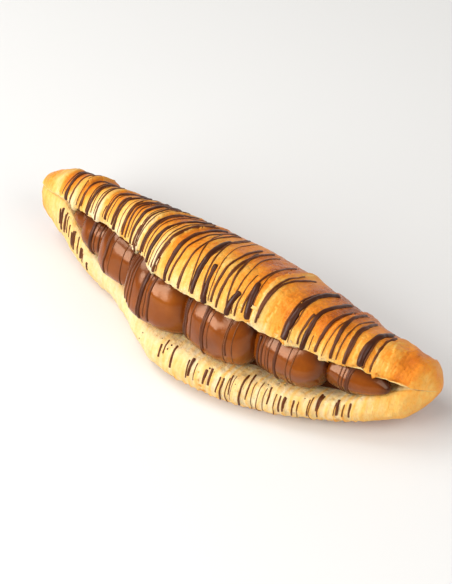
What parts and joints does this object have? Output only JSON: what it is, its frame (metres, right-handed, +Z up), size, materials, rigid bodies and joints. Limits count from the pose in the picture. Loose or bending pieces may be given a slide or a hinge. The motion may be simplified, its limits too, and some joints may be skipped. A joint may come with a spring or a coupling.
{
  "type": "filled croissant",
  "caption": "Baked croissant slit along its front, filled with a piped row of chocolate cream and striped with drizzled dark chocolate.",
  "frame": {"origin": "middle of the underside of the bounding box", "axes": "+X along the length from the left horn to the right one, as seen from the open front; +Y from the open front to the closed back; +Z up"},
  "size_m": [0.166, 0.053, 0.0461],
  "materials": {
    "crust": "baked golden-brown flaky crust, pale where the layers pulled apart, faint egg-wash sheen",
    "cream": "smooth glossy milk-chocolate cream",
    "dark_chocolate": "set dark chocolate, soft satin"
  },
  "bodies": {
    "root": {"pastry": "crust", "cream_dollop_01": "cream", "cream_dollop_02": "cream", "cream_dollop_03": "cream", "cream_dollop_04": "cream", "cream_dollop_05": "cream", "cream_dollop_06": "cream", "cream_dollop_07": "cream", "lid_strand_01": "dark_chocolate", "lid_strand_02": "dark_chocolate", "lid_strand_03": "dark_chocolate", "lid_strand_04": "dark_chocolate", "lid_strand_05": "dark_chocolate", "lid_strand_06": "dark_chocolate", "lid_strand_07": "dark_chocolate", "lid_strand_08": "dark_chocolate", "lid_strand_09": "dark_chocolate", "lid_strand_10": "dark_chocolate", "lid_strand_11": "dark_chocolate", "lid_strand_12": "dark_chocolate", "lid_strand_13": "dark_chocolate", "lid_strand_14": "dark_chocolate", "lid_strand_15": "dark_chocolate", "lid_strand_16": "dark_chocolate", "lid_strand_17": "dark_chocolate", "lid_strand_18": "dark_chocolate", "lid_strand_19": "dark_chocolate", "lid_strand_20": "dark_chocolate", "lid_strand_21": "dark_chocolate", "lid_strand_22": "dark_chocolate", "lid_strand_23": "dark_chocolate", "lid_strand_24": "dark_chocolate", "lid_strand_25": "dark_chocolate", "lid_strand_26": "dark_chocolate", "lid_strand_27": "dark_chocolate", "cream_strand_01": "dark_chocolate", "cream_strand_02": "dark_chocolate", "cream_strand_03": "dark_chocolate", "cream_strand_04": "dark_chocolate", "cream_strand_05": "dark_chocolate", "cream_strand_06": "dark_chocolate", "cream_strand_07": "dark_chocolate", "lip_strand_01": "dark_chocolate", "lip_strand_02": "dark_chocolate", "lip_strand_03": "dark_chocolate", "lip_strand_04": "dark_chocolate", "lip_strand_05": "dark_chocolate", "lip_strand_06": "dark_chocolate", "lip_strand_07": "dark_chocolate", "lip_strand_08": "dark_chocolate", "lip_strand_09": "dark_chocolate", "lip_strand_10": "dark_chocolate", "lip_strand_11": "dark_chocolate", "lip_strand_12": "dark_chocolate"}
  },
  "joints": []
}
